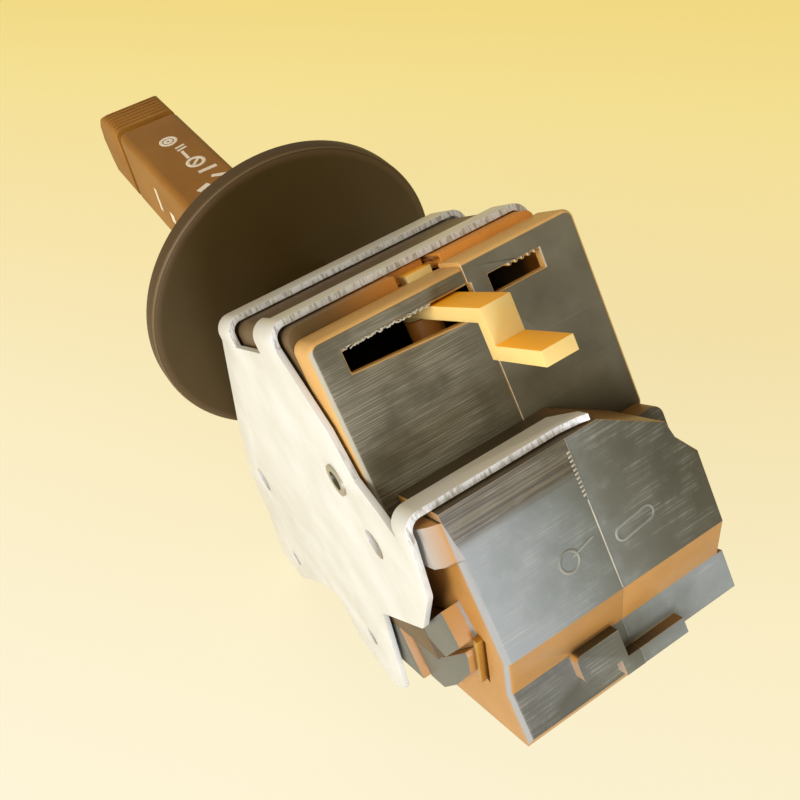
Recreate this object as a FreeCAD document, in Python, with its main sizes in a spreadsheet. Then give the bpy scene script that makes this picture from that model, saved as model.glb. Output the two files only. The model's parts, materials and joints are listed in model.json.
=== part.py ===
"""Indicator stalk switch for a vehicle's steering column, as an assembly of separate pieces.

Millimetres. +Z is up and +Y runs along the stalk to its tip. The origin is the centre of the round shroud.
The housing and its bracket are tilted against the stalk. They are drawn in a face frame turned about X:
x across, y up the main face, z out of the main face.
"""
import FreeCAD, Part
import math
import os
from types import SimpleNamespace
import Sketcher

V = FreeCAD.Vector
doc = FreeCAD.newDocument("indicator_stalk_switch")
sheet = doc.addObject("Spreadsheet::Sheet", "Sizes")


class Size:
    """A number together with the sheet expression that gives it."""

    def __init__(self, number, text):
        self.number, self.text = float(number), text

    def join(self, sign, other, number, swap=False):
        a, b = (as_size(other), self) if swap else (self, as_size(other))
        return Size(number, f"({a.text} {sign} {b.text})")

    def __add__(self, other):
        return self.join("+", other, self.number + float(other))

    __radd__ = __add__

    def __sub__(self, other):
        return self.join("-", other, self.number - float(other))

    def __rsub__(self, other):
        return self.join("-", other, float(other) - self.number, swap=True)

    def __mul__(self, other):
        return self.join("*", other, self.number * float(other))

    __rmul__ = __mul__

    def __truediv__(self, other):
        return self.join("/", other, self.number / float(other))

    def __neg__(self):
        return Size(-self.number, f"(0 - {self.text})")

    def __float__(self):
        return self.number


def as_size(value):
    return value if isinstance(value, Size) else Size(value, repr(float(value)))


DRIVING = {
    # the housing's face frame is turned about X by this much, in degrees
    "frame_turn": 58.2,
    "seat_gap": 0.3,            # between pieces that seat on each other
    "side_gap": 0.6,            # between the base and the bracket's side plates
    "slip": 0.05,               # radial clearance of a running fit

    # mounting bracket, folded from sheet
    "bracket_half_width": 27.5,
    "sheet": 1.2,
    "bend": 3.2,                # outer radius of the folds
    "fold_leg": 1.0,            # straight sheet beyond a fold, before a plate's outline begins
    "web_top": 7.2,
    "web_front": 33.0,
    "web_rear": 72.5,
    "window_front": 42.4,
    "window_rear": 65.5,
    "window_side_rear": 61.0,
    "window_drop": 5.4,
    "rear_fold_right": 24.6, "rear_fold_low": 0.6,   # the web's rear part folds down inside the right plate
    "strap_top": -22.6,
    "strap_front": 98.0,
    "strap_width": 5.6,
    "strap_end": 6.3,
    "strap_corner": 3.0,
    "strap_toe": 1.7, "strap_toe_left": 1.2,
    "strap_toe_lap": 0.2, "strap_toe_rise": 0.8,
    "knee_up": -20.0, "knee_out": 3.0,
    "chin_up": -38.0, "chin_out": -16.0,
    "jaw_up": -50.0, "jaw_out": -19.0,
    "ear_up": -66.5, "ear_out": -30.0,
    "ear_low_up": -71.0, "ear_low_out": -19.0,
    "belly_up": -63.0, "belly_out": 10.7,
    "belly_rear_out": 22.5,
    "foot_up": -74.0, "foot_out": 23.6,
    "toe_up": -81.0, "toe_out": 38.0,
    "heel_up": -78.0, "heel_out": 45.0,
    "notch_up": -53.7, "notch_out": 58.0,
    "flank_up": -47.5, "flank_out": 83.0,
    "shoulder_up": -37.9, "shoulder_out": 93.6,
    "slit_up": -23.0, "slit_out": 88.0,              # slit beside the strap's fold
    "waist_up": -19.0, "waist_out": 83.3,
    "brow_up": -10.5, "brow_out": 81.2,
    "relief": 0.8,
    "plate_corner": 3.5,
    "right_rear_up": -30.0, "right_rear_out": 58.0,
    "eyelet_up": -20.9, "eyelet_drop": 3.0, "eyelet_hole": 2.4,   # the drop is from the base's rim
    "spare_hole_up": -32.6, "spare_hole_out": 77.1, "spare_hole": 2.8,
    "front_hole_up": -36.5, "front_hole_out": -0.9, "front_hole": 3.1,
    "ear_hole_up": -62.6, "ear_hole_out": -11.8, "ear_hole": 2.2,
    "foot_hole_up": -67.5, "foot_hole_out": 37.3, "foot_hole": 2.1,
    "right_rivet_out": 56.0,
    "rivet_bore": 1.8, "rivet_flange": 0.4, "rivet_head": 3.0, "rivet_length": 3.1,

    # base housing, a moulded box open towards the covers
    "base_bottom": -58.0,
    "base_floor": 30.0,
    "lid_room": 6.0,            # from the board to the rim
    "base_chamfer": 9.0,
    "base_corner": 2.4,
    "wall": 2.5,
    "bearing_wall_top": -9.5,
    "bearing_wall_drop": 2.0,   # from the rim down to the bearing wall
    "mouth_half_width": 10.5, "mouth_low": -37.0, "mouth_high": -12.5,
    "rail_reach": 8.7, "rail_half_height": 7.0, "rail_depth": 6.0,
    "post_reach": 3.5, "post_height": 3.7,
    "notch_left": -5.0, "notch_right": 4.0, "notch_depth": 4.4,
    # step in the upper right corner for the web's rear fold
    "step_right": 23.1, "step_low": 0.3, "step_front": 64.9, "step_corner": 1.6,
    "lever_post": 3.2, "lever_post_top": -3.6,

    # covers over the base, split left and right
    "cover_height": 8.2,
    "cover_wall": 2.2,
    "cover_parting": 3.0,
    "left_cover_top": 3.6, "right_cover_top": 4.3,
    "cover_end": -34.0,
    "cover_corner": 2.0,
    "lever_slot_left": -20.6, "lever_slot_right": 3.6,
    "lever_slot_high": 0.5, "lever_slot_low_left": -3.5, "lever_slot_low_right": -5.0,
    "vent_left": 6.9, "vent_right": 17.4, "vent_high": 0.5, "vent_low": -3.0,
    "vent_tooth": 0.5, "vent_tooth_pitch": 1.3, "vent_tooth_start": 11.0, "vent_teeth": 5,

    # connector housing at the rear, split left and right
    "rear_half_width": 22.3,
    "rear_parting": 0.9,
    "rear_wall": 2.2,
    "rear_rise": 15.6,          # from the covers' face to the rear face
    "rear_step": -51.4,
    "rear_drop": 9.4,           # height of the upright wall under the rear face
    "rear_bottom": -70.5,
    "rear_bottom_chamfer": 2.0,
    "rear_floor": 46.0,
    "rear_flange_out": 58.0,
    "slope_left": 7.2, "slope_right": 18.4, "slope_right_up": -30.6, "slope_end": 19.2, "slope_end_up": -33.8,
    "slope_foot_up": -38.0,
    "shoulder_left": 19.0, "shoulder_right": 25.4, "shoulder_high": -32.0, "shoulder_low": -39.0,
    "shoulder_face": 5.2, "shoulder_corner": 2.2,
    "tab_high": -25.5, "tab_low": -32.5, "tab_depth": 8.0, "tab_crown": 5.2, "tab_bend": 1.9, "tab_turn": 3.1,
    "pad_rise": 2.4, "pad_left": -10.4, "pad_left_end": -1.6, "pad_right_start": -3.0, "pad_right": 10.4,
    "pad_high": -58.9, "pad_mid": -64.2, "pad_low": -67.2, "pad_corner": 1.2,
    "right_bottom": -66.9, "right_bulge": 1.2, "right_bulge_front": 62.0,
    "upper_lug_rise": 3.4,
    "upper_lug_head_up": -42.2, "upper_lug_head_out": 91.2,
    "upper_lug_side_up": -46.8, "upper_lug_side_out": 83.2,
    "upper_lug_heel_up": -48.6, "upper_lug_heel_out": 92.4,
    "upper_lug_low_up": -55.0, "upper_lug_low_out": 81.6,
    "upper_lug_foot_up": -53.0, "upper_lug_end_up": -48.6,
    "lower_lug_rise": 2.2,
    "lower_lug_high": -60.6, "lower_lug_low": -69.6, "lower_lug_front": 60.0, "lower_lug_corner_out": 66.0,
    "lower_lug_bend_up": -64.2, "lower_lug_bend_out": 76.1,
    "lower_lug_tip_up": -54.9, "lower_lug_tip_out": 90.0,
    "lower_lug_point_up": -51.4, "lower_lug_point_out": 89.8,
    "lower_lug_neck_up": -57.2, "lower_lug_neck_out": 78.2,
    "lower_lug_back_out": 71.0,
    "socket_half_width": 16.8, "socket_drop": 2.0, "socket_height": 18.0, "socket_depth": 11.0,
    "blade_width": 6.3, "blade_thickness": 0.8, "blade_pitch": 8.2, "blade_row": 5.0, "blade_lift": 1.3,
    "blade_reach": 7.0, "blade_tail": 5.0, "blade_gap": 0.05,
    "slot_front": -106.4, "slot_width": 2.4, "slot_low": -4.2, "slot_high": 8.7,
    "terminal_out": 1.2, "terminal_gap": 0.15, "terminal_thickness": 1.0,

    # turning carrier and its pins
    "turn_out": 48.0,           # where the turn axis stands along the face frame's z
    "carrier_half_width": 11.0, "carrier_low": -53.0, "carrier_high": -13.0,
    "carrier_front": 36.0, "carrier_rear": 60.0,
    "carrier_cheek": 4.8, "carrier_bridge": 3.0, "carrier_web": 6.0,
    "trunnion": 2.5, "trunnion_seat": 2.2,
    "detent_up": -22.0, "plunger": 3.0, "plunger_reach": 6.0, "plunger_length": 9.0, "plunger_nose": 2.2,
    "plunger_boss": 1.4, "plunger_boss_depth": 5.5,
    "spring_wire": 0.35, "spring_pitch": 1.7, "spring_play": 0.3,
    "detent_gap": 0.3,          # from the plunger's tip to the hollow it runs along
    "detent_plate_dip": 1.1, "detent_plate_thickness": 5.8, "detent_plate_half_height": 5.5,
    "detent_dent": 1.6,
    "peg_up": -43.0, "peg": 2.0, "peg_length": 5.0,

    # sliding contact carriage and its board
    "slider_half_width": 20.0, "slider_half_height": 6.0, "slider_lift": 2.0, "slider_thickness": 3.6,
    "slider_play": 0.1,
    "slider_slot": 2.5,
    "board_thickness": 2.0, "board_high": -32.0, "board_low": -54.0,
    "contact_thickness": 0.5, "contact_half_width": 1.5, "contact_foot": 3.4, "contact_crown": 0.9,
    "contact_rise": 1.8, "contact_pitch": 9.0, "contact_gap": 0.1, "fixed_contact_half_length": 4.2,

    # stalk
    "stalk_z": -4.5,
    "stalk_half_width": 9.4, "stalk_top": 7.0, "stalk_bottom": -16.0,
    "stalk_edge": 2.2,
    "stalk_wall": 2.0,
    "stalk_collar": 24.0, "stalk_end": 93.0,
    "shank_half_width": 5.4, "shank_half_height": 5.8, "shank_rear": -62.0, "shank_front": 38.0,
    "shank_gap": 0.05,
    "dip_pin": 2.0, "dip_y": -54.6,
    "flange_half_width": 8.4, "flange_half_height": 8.6, "flange_thickness": 3.0,
    "disc_radius": 37.0, "disc_half_thickness": 1.1, "disc_lip": 2.4, "disc_lip_depth": 1.6, "disc_edge": 1.0,
    "button_gap": 0.35, "button_skirt": 13.0, "button_wall": 1.6, "button_post": 4.2,
    "button_travel": 2.5, "button_stop": 0.4,
    "button_brow": 12.0, "nose_y": 116.8, "nose_z": -4.4, "nose_high_y": 111.5, "nose_high_z": 4.6,
    "nose_low_y": 112.7, "nose_mid_y": 115.2, "nose_mid_z": 0.8, "nose_under_y": 115.2, "nose_under_z": -10.9,
    "rib_first": 97.4, "rib_pitch": 1.9, "rib_width": 0.8, "rib_depth": 0.6, "rib_count": 6,
    "button_spring_radius": 3.0,
    "bulkhead_back": 66.0, "bulkhead_thickness": 3.0,
    "horn_strip": 0.5, "horn_strip_half_width": 3.0, "horn_strip_length": 7.5, "horn_strip_low": -11.5,
    "horn_strip_pitch": 1.6, "horn_strip_seat": 1.5,
    "return_leaf": 0.5, "return_leaf_half_width": 4.0, "return_leaf_inset": 2.0, "return_leaf_foot": 4.5,
    "return_leaf_rise": 6.5, "return_leaf_reach": 7.4,
    "stalk_pin": 1.5, "stalk_pin_y": 13.0,

    # cancel lever
    "lever_left": -4.1, "lever_width": 5.4, "lever_thickness": 2.4,
    "lever_crank_rise": 16.1, "lever_tip_length": 12.7, "lever_tip_drop": 8.4,
    "lever_pivot_x": -0.95, "lever_pivot_drop": 6.0, "lever_hub": 3.2, "lever_pin": 1.3,
    "lever_play": 0.2, "lever_foot": 2.0, "lever_pin_seat": 2.0,
    "wedge_left": -2.8, "wedge_right": 2.0, "wedge_top": 4.7, "wedge_length": 3.4, "wedge_drop": 0.6,
    "wire_x": 3.0, "wire_depth": 0.5, "wire": 0.35, "wire_length": 13.8, "wire_drop": 0.2, "wire_hook": 4.0,
    "wire_groove": 0.6,
}


def fill_sheet():
    for row, (alias, value) in enumerate(DRIVING.items(), 1):
        sheet.set(f"A{row}", alias)
        sheet.set(f"B{row}", str(value))
        sheet.setAlias(f"B{row}", alias)
    doc.recompute()


fill_sheet()
s = SimpleNamespace(**{alias: Size(value, f"Sizes.{alias}") for alias, value in DRIVING.items()})
turn_sin = Size(math.sin(math.radians(float(s.frame_turn))), "sin(Sizes.frame_turn * 1 deg)")
turn_cos = Size(math.cos(math.radians(float(s.frame_turn))), "cos(Sizes.frame_turn * 1 deg)")
PARTS = []


def bind(thing, prop, size):
    size = as_size(size)
    thing.setExpression(prop, size.text)


def new_body(label, tilted=False):
    """A body in the object's own frame, or in the face frame when tilted."""
    body = doc.addObject("PartDesign::Body", label)
    body.Label = label
    body.AllowCompound = True
    if tilted:
        body.Placement = FreeCAD.Placement(V(), FreeCAD.Rotation(V(1, 0, 0), float(s.frame_turn)))
        body.setExpression("Placement.Rotation.Angle", f"{s.frame_turn.text} * 1 deg")
    PARTS.append(body)
    return body


PLANES = {"x": "YZ_Plane", "y": "XZ_Plane", "z": "XY_Plane"}


def new_sketch(body, axis, start):
    plane = next(f for f in body.Origin.OriginFeatures if f.Role == PLANES[axis])
    sketch = body.newObject("Sketcher::SketchObject", "Outline")
    sketch.AttachmentSupport = [(plane, "")]
    sketch.MapMode = "FlatFace"
    sketch.AttachmentOffset = FreeCAD.Placement(V(0, 0, float(start)), FreeCAD.Rotation())
    bind(sketch, "AttachmentOffset.Base.z", start)
    return sketch


def place_point(sketch, line, end, point):
    """Ties one end of a line, or a circle's centre, to two sizes from the sketch's origin."""
    for kind, value in zip(("DistanceX", "DistanceY"), point):
        n = sketch.addConstraint(Sketcher.Constraint(kind, -1, 1, line, end, float(value)))
        bind(sketch, f"Constraints[{n}]", value)


def draw_polygon(sketch, points):
    corners = [V(float(a), float(b), 0) for a, b in points]
    for k, corner in enumerate(corners):
        sketch.addGeometry(Part.LineSegment(corner, corners[(k + 1) % len(corners)]))
    for k in range(len(corners)):
        sketch.addConstraint(Sketcher.Constraint("Coincident", k, 2, (k + 1) % len(corners), 1))
    for k, point in enumerate(points):
        place_point(sketch, k, 1, point)


def draw_circle(sketch, centre, radius):
    a, b = centre
    circle = sketch.addGeometry(Part.Circle(V(float(a), float(b), 0), V(0, 0, 1), float(radius)))
    place_point(sketch, circle, 3, centre)
    n = sketch.addConstraint(Sketcher.Constraint("Radius", circle, float(radius)))
    bind(sketch, f"Constraints[{n}]", radius)


def extrude(body, axis, low, high, draw, cut=False):
    """Adds or cuts what draw() puts in a sketch, from low to high along one axis of the body."""
    low, high = as_size(low), as_size(high)
    sketch = new_sketch(body, axis, -high if axis == "y" else low)
    draw(sketch)
    before = body.Shape.Volume if cut else 0.0
    feature = body.newObject("PartDesign::Pocket" if cut else "PartDesign::Pad", "Cut" if cut else "Block")
    feature.Profile = sketch
    feature.Type = "Length"
    bind(feature, "Length", high - low)
    if cut:
        feature.Reversed = True
    sketch.Visibility = False
    doc.recompute()
    if cut and not body.Shape.Volume < before - 1e-6:
        raise ValueError(f"a cut in {body.Label} removes nothing")
    return feature


def prism(body, axis, points, low, high, cut=False):
    return extrude(body, axis, low, high, lambda sketch: draw_polygon(sketch, points), cut)


def block(body, x, y, z, cut=False, axis="z"):
    """A box between pairs of x, y and z. For an extrusion along y the sketch holds x and z."""
    sides = {"x": (y, z, x), "y": (x, z, y), "z": (x, y, z)}[axis]
    (a0, a1), (b0, b1), (low, high) = sides
    return prism(body, axis, [(a0, b0), (a1, b0), (a1, b1), (a0, b1)], low, high, cut)


def rod(body, axis, centre, radius, low, high, cut=False):
    return extrude(body, axis, low, high, lambda sketch: draw_circle(sketch, centre, radius), cut)


def tube(body, axis, centre, outer, inner, low, high):
    def draw(sketch):
        draw_circle(sketch, centre, outer)
        draw_circle(sketch, centre, inner)
    return extrude(body, axis, low, high, draw)


def round_edges(body, radius, wanted, kind="PartDesign::Fillet"):
    """Rounds or chamfers the edges of the body's tip for which wanted(middle, direction) is true."""
    tip = body.Tip
    names = []
    for n, edge in enumerate(tip.Shape.Edges, 1):
        if edge.Curve.TypeId != "Part::GeomLine" or edge.Length < 1e-6:
            continue
        ends = [v.Point for v in edge.Vertexes]
        direction = (ends[-1] - ends[0]).normalize()
        if wanted((ends[0] + ends[-1]) / 2, direction):
            names.append(f"Edge{n}")
    if not names:
        raise ValueError(f"no edge to round in {body.Label}")
    feature = body.newObject(kind, "Rounding")
    feature.Base = (tip, names)
    bind(feature, "Radius" if kind.endswith("Fillet") else "Size", radius)
    doc.recompute()
    return feature


def near(value, size, by=0.05):
    return abs(value - float(size)) < by


def coil(body, centre, radius, wire, pitch, low, high):
    """A helical spring of round wire about an axis along the body's z, between two heights."""
    sketch = new_sketch(body, "x", as_size(centre[0]))
    along = as_size(centre[1])
    draw_circle(sketch, (along + radius, as_size(low) + wire), wire)
    ends = V(float(along), 0, 0), V(float(along), float(radius), 0)
    axis = sketch.addGeometry(Part.LineSegment(*ends), True)
    place_point(sketch, axis, 1, (along, as_size(0)))
    place_point(sketch, axis, 2, (along, as_size(radius)))
    helix = body.newObject("PartDesign::AdditiveHelix", "Coil")
    helix.Profile = sketch
    helix.ReferenceAxis = (sketch, ["Axis0"])
    helix.Mode = 0
    bind(helix, "Pitch", pitch)
    bind(helix, "Height", as_size(high) - low - wire * 2)
    sketch.Visibility = False
    doc.recompute()
    return helix


def round_rim(body, radius, height, about, kind="PartDesign::Fillet"):
    """Rounds the circular edges of one radius at one height along the body's z or y axis."""
    axis, size = about
    names = [f"Edge{n}" for n, edge in enumerate(body.Tip.Shape.Edges, 1)
             if edge.Curve.TypeId == "Part::GeomCircle" and near(edge.Curve.Radius, size)
             and near(getattr(edge.Curve.Center, axis), height)]
    if not names:
        raise ValueError(f"no rim to round in {body.Label}")
    tip = body.Tip
    feature = body.newObject(kind, "Rounding")
    feature.Base = (tip, names)
    bind(feature, "Radius" if kind.endswith("Fillet") else "Size", radius)
    doc.recompute()


def in_face_frame(y, z):
    """The face frame's y and z of a point given in the object's own frame."""
    return y * turn_cos + z * turn_sin, z * turn_cos - y * turn_sin


# places that follow from the sizes
PLUNGER_TIP = s.carrier_rear + s.plunger_reach
DETENT_ARC = PLUNGER_TIP + s.detent_gap - s.turn_out
DETENT_PLATE_OUT = PLUNGER_TIP + s.detent_gap - s.detent_plate_dip
SLIDER_FRONT = s.carrier_rear + s.slider_lift
BOARD_OUT = SLIDER_FRONT + s.slider_thickness + s.contact_rise + s.contact_gap + s.contact_thickness
BASE_RIM = BOARD_OUT + s.board_thickness + s.lid_room
FACE = BASE_RIM + s.cover_height
REAR_FACE = FACE + s.rear_rise
SOCKET_FLOOR = BASE_RIM - s.socket_drop
SOCKET_ROOF = SOCKET_FLOOR + s.socket_height
EYELET_OUT = BASE_RIM - s.eyelet_drop
PIVOT_OUT = BASE_RIM - s.lever_pivot_drop
WIRE_FRONT = BASE_RIM - s.wire_drop - s.wire_length
BASE_HALF = s.bracket_half_width - s.sheet - s.side_gap
BASE_INNER = BASE_HALF - s.wall
BASE_TOP = s.web_top - s.sheet - s.seat_gap
PIN_POINT = in_face_frame(s.dip_y, s.stalk_z)


def mounting_bracket():
    """A channel folded from plated sheet: a web with a window, two side plates and a strap at the rear."""
    body = new_body("mounting_bracket", tilted=True)
    outer = s.bracket_half_width
    inner = outer - s.sheet
    fold, strap_fold = s.web_top - s.bend - s.fold_leg, s.strap_top - s.bend - s.fold_leg
    strap_rear = s.strap_front - s.strap_width

    def folded_edge(halves, up):
        return lambda p, d: (near(abs(d.z), 1) and near(p.y, up)
                             and any(near(abs(p.x), half) for half in halves))

    under = s.web_top - s.sheet
    for right, low, front, rear in ((outer, fold, s.web_front, s.window_side_rear),
                                    (s.rear_fold_right, s.rear_fold_low, s.window_side_rear, s.web_rear)):
        prism(body, "z", [(-outer, fold), (-outer, s.web_top), (right, s.web_top), (right, low),
                          (right - s.sheet, low), (right - s.sheet, under), (-inner, under), (-inner, fold)],
              front, rear)
    block(body, (-outer - 1, outer + 1), (fold - 1, s.web_top + 1), (s.window_front, s.window_side_rear),
          cut=True)
    block(body, (s.bend - outer, s.rear_fold_right + 1), (s.rear_fold_low - 1, s.web_top + 1),
          (s.window_side_rear - 1, s.window_rear), cut=True)
    round_edges(body, s.bend, folded_edge((outer, s.rear_fold_right), s.web_top))
    round_edges(body, s.bend - s.sheet, folded_edge((inner, s.rear_fold_right - s.sheet), under))
    under = s.strap_top - s.sheet
    prism(body, "z", [(-outer, strap_fold), (-outer, s.strap_top), (s.strap_end, s.strap_top),
                      (s.strap_end, under), (-inner, under), (-inner, strap_fold)], strap_rear, s.strap_front)
    round_edges(body, s.bend, folded_edge((outer,), s.strap_top))
    round_edges(body, s.bend - s.sheet, folded_edge((inner,), under))
    # the strap's end: one corner cut off, the other drawn out to a toe
    prism(body, "y", [(s.strap_corner, strap_rear), (s.strap_end + 1, strap_rear + s.strap_corner * 2),
                      (s.strap_end + 1, strap_rear - 1), (s.strap_corner, strap_rear - 1)],
          under - 1, s.strap_top + 1, cut=True)
    toe_root = s.strap_front - s.strap_toe_lap
    prism(body, "y", [(s.strap_toe_left, toe_root), (s.strap_end, toe_root),
                      (s.strap_end, s.strap_front + s.strap_toe),
                      (s.strap_end - s.strap_toe, s.strap_front + s.strap_toe_rise),
                      (s.strap_toe_left, s.strap_front)], under, s.strap_top)

    front = [(fold, s.web_front), (s.knee_up, s.knee_out), (s.chin_up, s.chin_out), (s.jaw_up, s.jaw_out),
             (s.ear_up, s.ear_out), (s.ear_low_up, s.ear_low_out), (s.belly_up, s.belly_out),
             (s.belly_up, s.belly_rear_out), (s.foot_up, s.foot_out), (s.toe_up, s.toe_out),
             (s.heel_up, s.heel_out)]
    left_rear = [(s.notch_up, s.notch_out), (s.flank_up, s.flank_out), (s.shoulder_up, s.shoulder_out),
                 (strap_fold, s.strap_front), (strap_fold, strap_rear - s.relief), (s.slit_up, s.slit_out),
                 (s.waist_up, s.waist_out), (s.brow_up, s.brow_out), (fold, s.web_rear)]
    right_rear = [(s.notch_up, s.right_rear_out), (s.right_rear_up, s.right_rear_out),
                  (fold, s.window_side_rear)]
    prism(body, "x", front + left_rear, -outer, -inner)
    prism(body, "x", front + right_rear, inner, outer)
    corners = [(s.chin_up, s.chin_out), (s.ear_up, s.ear_out), (s.ear_low_up, s.ear_low_out),
               (s.toe_up, s.toe_out), (s.heel_up, s.heel_out), (s.flank_up, s.flank_out),
               (s.shoulder_up, s.shoulder_out), (s.foot_up, s.foot_out)]
    round_edges(body, s.plate_corner, lambda p, d: near(abs(d.x), 1) and any(
        near(p.y, up) and near(p.z, out) for up, out in corners))
    block(body, (-outer - 1, outer + 1), (s.web_top - s.window_drop, s.web_top + 1),
          (s.window_front, s.window_side_rear), cut=True)
    for up, out, radius in ((s.front_hole_up, s.front_hole_out, s.front_hole),
                            (s.ear_hole_up, s.ear_hole_out, s.ear_hole),
                            (s.foot_hole_up, s.foot_hole_out, s.foot_hole)):
        rod(body, "x", (up, out), radius, -outer - 1, outer + 1, cut=True)
    for up, out, radius in ((s.eyelet_up, EYELET_OUT, s.eyelet_hole),
                            (s.spare_hole_up, s.spare_hole_out, s.spare_hole)):
        rod(body, "x", (up, out), radius, -outer - 1, -inner + 1, cut=True)
    rod(body, "x", (s.eyelet_up, s.right_rivet_out), s.eyelet_hole, inner - 1, outer + 1, cut=True)


def base_housing():
    """The moulded box between the side plates, open to the covers, with rails, posts and bearing walls."""
    body = new_body("base_housing", tilted=True)
    top, half, inner = BASE_TOP, BASE_HALF, BASE_INNER
    prism(body, "x", [(top - s.base_chamfer, s.base_floor), (top, s.base_floor + s.base_chamfer),
                      (top, BASE_RIM), (s.base_bottom, BASE_RIM), (s.base_bottom, s.base_floor)], -half, half)
    round_edges(body, s.base_corner,
                lambda p, d: near(abs(d.z), 1) and near(p.y, top) and near(abs(p.x), half))
    inner_top, inner_floor = top - s.wall, s.base_floor + s.wall
    prism(body, "x", [(inner_top - s.base_chamfer, inner_floor), (inner_top, inner_floor + s.base_chamfer),
                      (inner_top, BASE_RIM + 1), (s.base_bottom + s.wall, BASE_RIM + 1),
                      (s.base_bottom + s.wall, inner_floor)], -inner, inner, cut=True)
    # the upper right corner is stepped inwards, with its wall behind the step
    block(body, (s.step_right - s.wall, inner), (s.step_low - s.wall, inner_top),
          (s.step_front - s.wall, BASE_RIM))
    block(body, (s.step_right, half + 1), (s.step_low, top + 1), (s.step_front, BASE_RIM + 1), cut=True)
    round_edges(body, s.step_corner,
                lambda p, d: near(abs(d.z), 1) and near(p.y, top) and near(p.x, s.step_right))
    block(body, (-inner, inner), (s.bearing_wall_top - s.wall, s.bearing_wall_top),
          (inner_floor, BASE_RIM - s.bearing_wall_drop))
    rod(body, "y", (s.lever_pivot_x, PIVOT_OUT), s.lever_post, s.bearing_wall_top - 1, s.lever_post_top)
    for left, right in ((-inner, s.rail_reach - inner), (inner - s.rail_reach, inner)):
        # the carriage slides on the rails
        block(body, (left, right), (s.peg_up - s.rail_half_height, s.peg_up + s.rail_half_height),
              (SLIDER_FRONT - s.slider_play - s.rail_depth, SLIDER_FRONT - s.slider_play))
    for left, right in ((-inner, s.post_reach - inner), (inner - s.post_reach, inner)):
        # posts under the corners of the board, and under the detent plate
        detent_half = s.detent_plate_half_height
        for low, high, out in ((s.board_low, s.board_low + s.post_height, BOARD_OUT),
                               (s.board_high - s.post_height, s.board_high, BOARD_OUT),
                               (s.detent_up - detent_half, s.detent_up + detent_half, DETENT_PLATE_OUT)):
            block(body, (left, right), (low, high), (inner_floor, out))
    block(body, (-s.mouth_half_width, s.mouth_half_width), (s.mouth_low, s.mouth_high),
          (s.base_floor - 1, inner_floor), cut=True)
    # seats of the turning pins and of the lever's pin in the bearing, bottom and top walls
    rod(body, "y", (0, s.turn_out), s.trunnion, s.base_bottom + s.wall - s.trunnion_seat,
        s.bearing_wall_top + 1, cut=True)
    rod(body, "y", (s.lever_pivot_x, PIVOT_OUT), s.lever_pin, s.bearing_wall_top - s.lever_pin_seat, top + 1,
        cut=True)
    # notch for the lever's wedge, and the groove of its spring wire
    block(body, (s.notch_left, s.notch_right), (inner_top - 1, top + 1),
          (BASE_RIM - s.notch_depth, BASE_RIM + 1), cut=True)
    groove = s.wire_groove
    block(body, (s.wire_x - groove, s.wire_x + groove), (top - s.wire_depth - groove, top + 1),
          (WIRE_FRONT - groove, BASE_RIM), cut=True)
    block(body, (s.wire_x - s.wire_hook - groove, s.wire_x), (top - s.wire_depth - groove, top + 1),
          (WIRE_FRONT - groove, WIRE_FRONT + groove), cut=True)
    for out, low, high in ((EYELET_OUT, -half - 1, -inner + 1), (s.right_rivet_out, inner, half + 1)):
        rod(body, "x", (s.eyelet_up, out), s.eyelet_hole, low, high, cut=True)


def bracket_rivets():
    """Two eyelets, one in each side plate, that hold the base between the plates."""
    body = new_body("bracket_rivets", tilted=True)
    face = s.bracket_half_width
    for side, out in ((-1, EYELET_OUT), (1, s.right_rivet_out)):
        for radius, near_end, far_end in ((s.rivet_head, face, face + s.rivet_flange),
                                          (s.eyelet_hole - s.slip, face - s.rivet_length, face)):
            low, high = (near_end, far_end) if side > 0 else (-far_end, -near_end)
            tube(body, "x", (s.eyelet_up, out), radius, s.rivet_bore, low, high)


def cover(label, left, right, top, joint_side):
    """One half of the cover: a shallow tray open towards the base and along the parting."""
    body = new_body(label, tilted=True)
    block(body, (left, right), (s.cover_end, top), (BASE_RIM, FACE))
    outer = left if joint_side > 0 else right
    round_edges(body, s.cover_corner, lambda p, d: near(abs(d.z), 1) and near(p.x, outer))
    round_edges(body, s.cover_corner / 2,
                lambda p, d: near(p.z, FACE) and near(abs(d.y), 1) and near(p.x, outer))
    low_x, high_x = (left + s.cover_wall, right + 1) if joint_side > 0 else (left - 1, right - s.cover_wall)
    block(body, (low_x, high_x), (s.cover_end + s.cover_wall, top - s.cover_wall),
          (BASE_RIM - 1, FACE - s.cover_wall), cut=True)
    return body


def left_cover():
    body = cover("left_cover", -BASE_HALF, s.cover_parting, s.left_cover_top, 1)
    prism(body, "z", [(s.lever_slot_left, s.lever_slot_high), (s.lever_slot_left, s.lever_slot_low_left),
                      (s.cover_parting + 1, s.lever_slot_low_right),
                      (s.cover_parting + 1, s.lever_slot_high)],
          FACE - s.cover_wall - 1, FACE + 1, cut=True)


def right_cover():
    body = cover("right_cover", s.cover_parting, BASE_HALF, s.right_cover_top, -1)
    wall = (FACE - s.cover_wall - 1, FACE + 1)
    block(body, (s.cover_parting - 1, s.lever_slot_right), (s.lever_slot_low_right, s.lever_slot_high),
          wall, cut=True)
    points = [(s.vent_left, s.vent_low), (s.vent_right, s.vent_low), (s.vent_right, s.vent_high)]
    tip = s.vent_high - s.vent_tooth
    for tooth in reversed(range(int(float(s.vent_teeth)))):
        x = s.vent_tooth_start + s.vent_tooth_pitch * tooth
        middle = x + s.vent_tooth_pitch / 2
        points += [(middle, s.vent_high), (middle, tip), (x, tip), (x, s.vent_high)]
    prism(body, "z", points + [(s.vent_left, s.vent_high)], *wall, cut=True)


REAR_TOP = s.strap_top - s.sheet - s.seat_gap
REAR_BACK = s.base_bottom - s.seat_gap
STEP_UP, STEP_OUT = s.rear_step - s.rear_drop * turn_sin, REAR_FACE - s.rear_drop * turn_cos


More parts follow.
